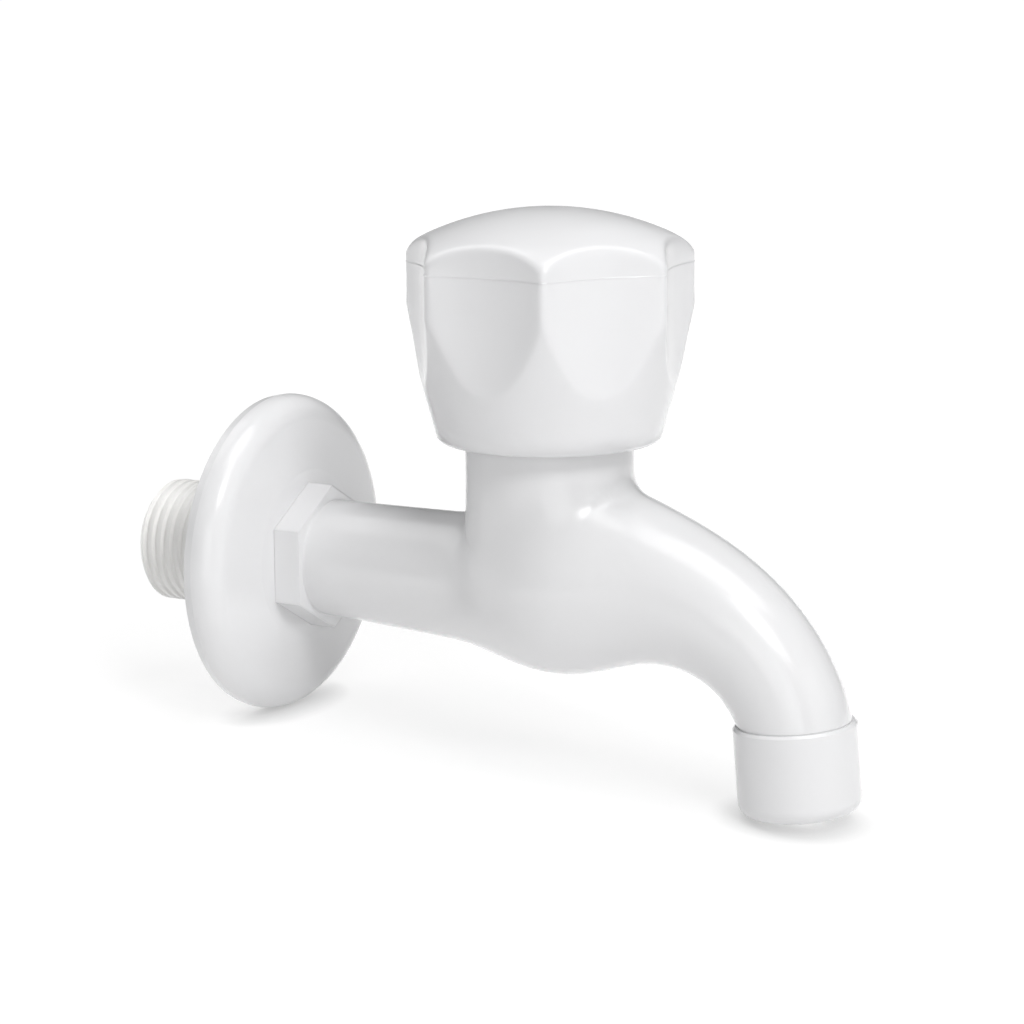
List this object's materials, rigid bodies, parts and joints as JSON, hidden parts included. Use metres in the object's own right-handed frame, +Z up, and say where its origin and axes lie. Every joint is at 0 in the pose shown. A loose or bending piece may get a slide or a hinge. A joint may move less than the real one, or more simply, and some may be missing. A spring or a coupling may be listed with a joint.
{
  "type": "wall mounted sink tap",
  "caption": "White moulded wall tap: threaded inlet, round wall flange, bulbous valve body with a drooping spout, screwed nozzle ring and a scooped turning knob.",
  "frame": {"origin": "where the inlet axis meets the wall, in the plane of the wall flange's back rim", "axes": "+X out of the wall along the inlet, +Y to the left as seen from the wall, +Z up along the valve spindle"},
  "size_m": [0.1299, 0.054, 0.0941],
  "materials": {
    "white_body": "gloss, moulded white polypropylene",
    "white_knob": "satin gloss, moulded white",
    "headwork_plastic": "glass-filled acetal, matt",
    "brass": "turned brass",
    "steel": "stainless",
    "rubber": "black rubber"
  },
  "bodies": {
    "tap": {"tap_body": "white_body", "wall_flange": "white_body", "bonnet": "headwork_plastic", "bonnet_gasket": "rubber", "outlet_ring": "white_body", "outlet_washer": "rubber", "insert_housing": "headwork_plastic", "flow_straightener": "headwork_plastic", "flow_screens": "steel"},
    "handle": {"spindle": "brass", "spindle_o_rings": "rubber", "spindle_washer": "headwork_plastic", "spindle_clip": "steel", "knob_grip": "white_knob", "knob_bush": "brass", "knob_cap": "white_knob", "knob_screw_washer": "steel", "knob_screw": "steel"},
    "plunger": {"valve_plunger": "headwork_plastic", "seat_washer": "rubber", "seat_screw_washer": "brass", "seat_screw": "brass"}
  },
  "joints": [
    {"name": "knob_turn", "type": "hinge", "parent": "tap", "child": "handle", "pos_m": [0.0539, 0, 0.04], "axis": [0, 0, 1], "range_deg": [0, 900]},
    {"name": "plunger_lift", "type": "slide", "parent": "tap", "child": "plunger", "axis": [0, 0, 1], "range_m": [0, 0.005]}
  ],
  "couplings": [
    {"joint": "plunger_lift", "follows": "knob_turn", "m_per_rad": 0.0003183}
  ]
}
